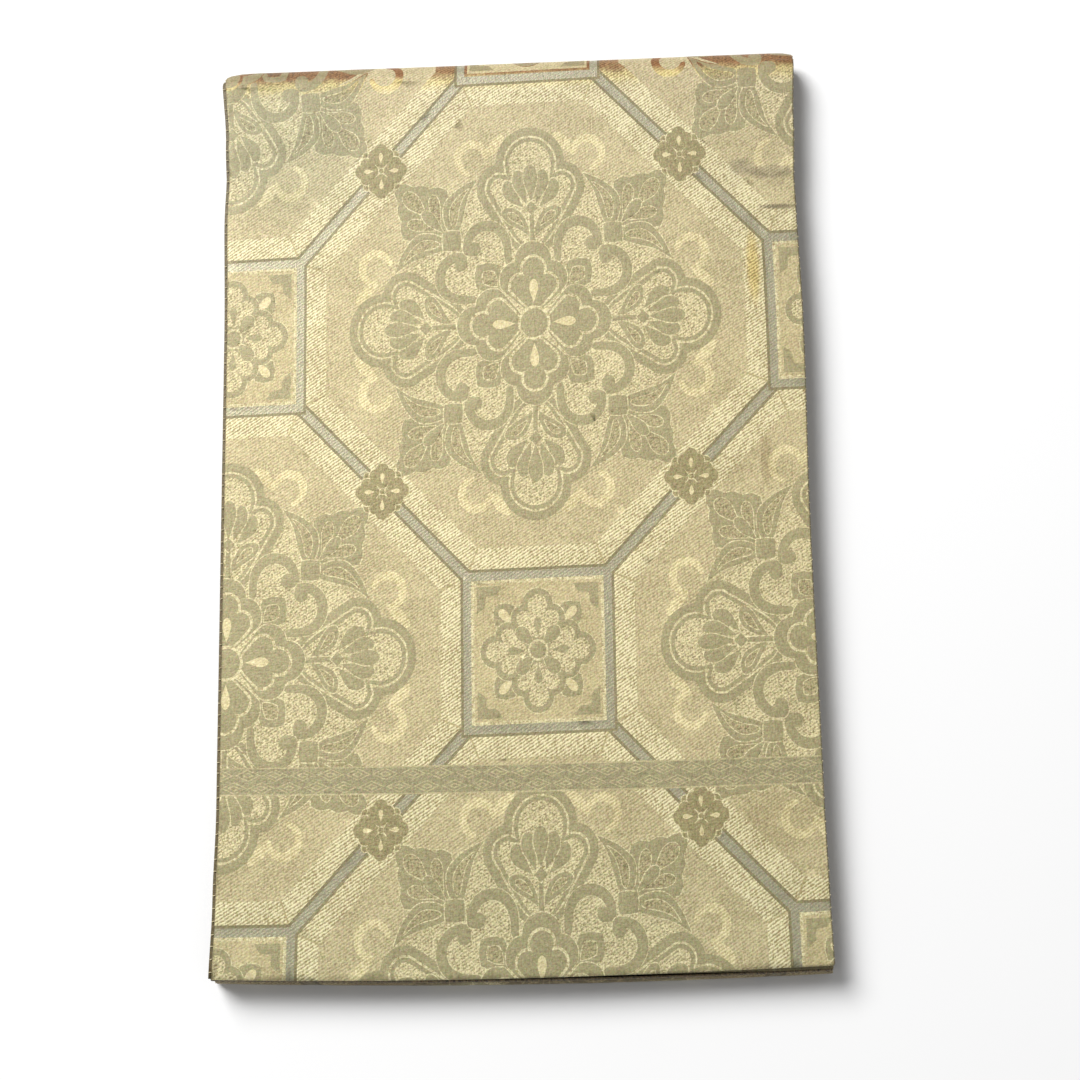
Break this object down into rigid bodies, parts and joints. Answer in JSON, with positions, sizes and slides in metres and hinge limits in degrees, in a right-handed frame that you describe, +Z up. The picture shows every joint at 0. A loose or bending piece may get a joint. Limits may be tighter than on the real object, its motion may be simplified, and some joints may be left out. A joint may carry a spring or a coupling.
{
  "type": "folded obi sash",
  "caption": "Figured brocade obi sash, folded by halving into a flat rectangular pad, with a rounded far fold and its finished end at the near edge.",
  "frame": {"origin": "centre of the underside of the folded obi, on the surface that it lies on", "axes": "+X across the cloth, to the right seam; +Y along the cloth, to the rounded far fold; +Z up, out of the top layer"},
  "size_m": [0.3164, 0.4982, 0.019],
  "materials": {
    "face_brocade": "figured brocade in olive, cream, gold and blue-grey metallic thread, satin sheen",
    "back_cloth": "plain fine ribbed silk in dull olive gold",
    "inner_layers": "the edges of the same two cloths, layered"
  },
  "bodies": {
    "root": {"face_top": "face_brocade", "face_far_fold": "face_brocade", "face_underside": "face_brocade", "face_near_fold": "face_brocade", "back_top": "back_cloth", "back_far_fold": "back_cloth", "back_underside": "back_cloth", "back_near_fold": "back_cloth", "hidden_layers": "inner_layers"}
  },
  "joints": []
}
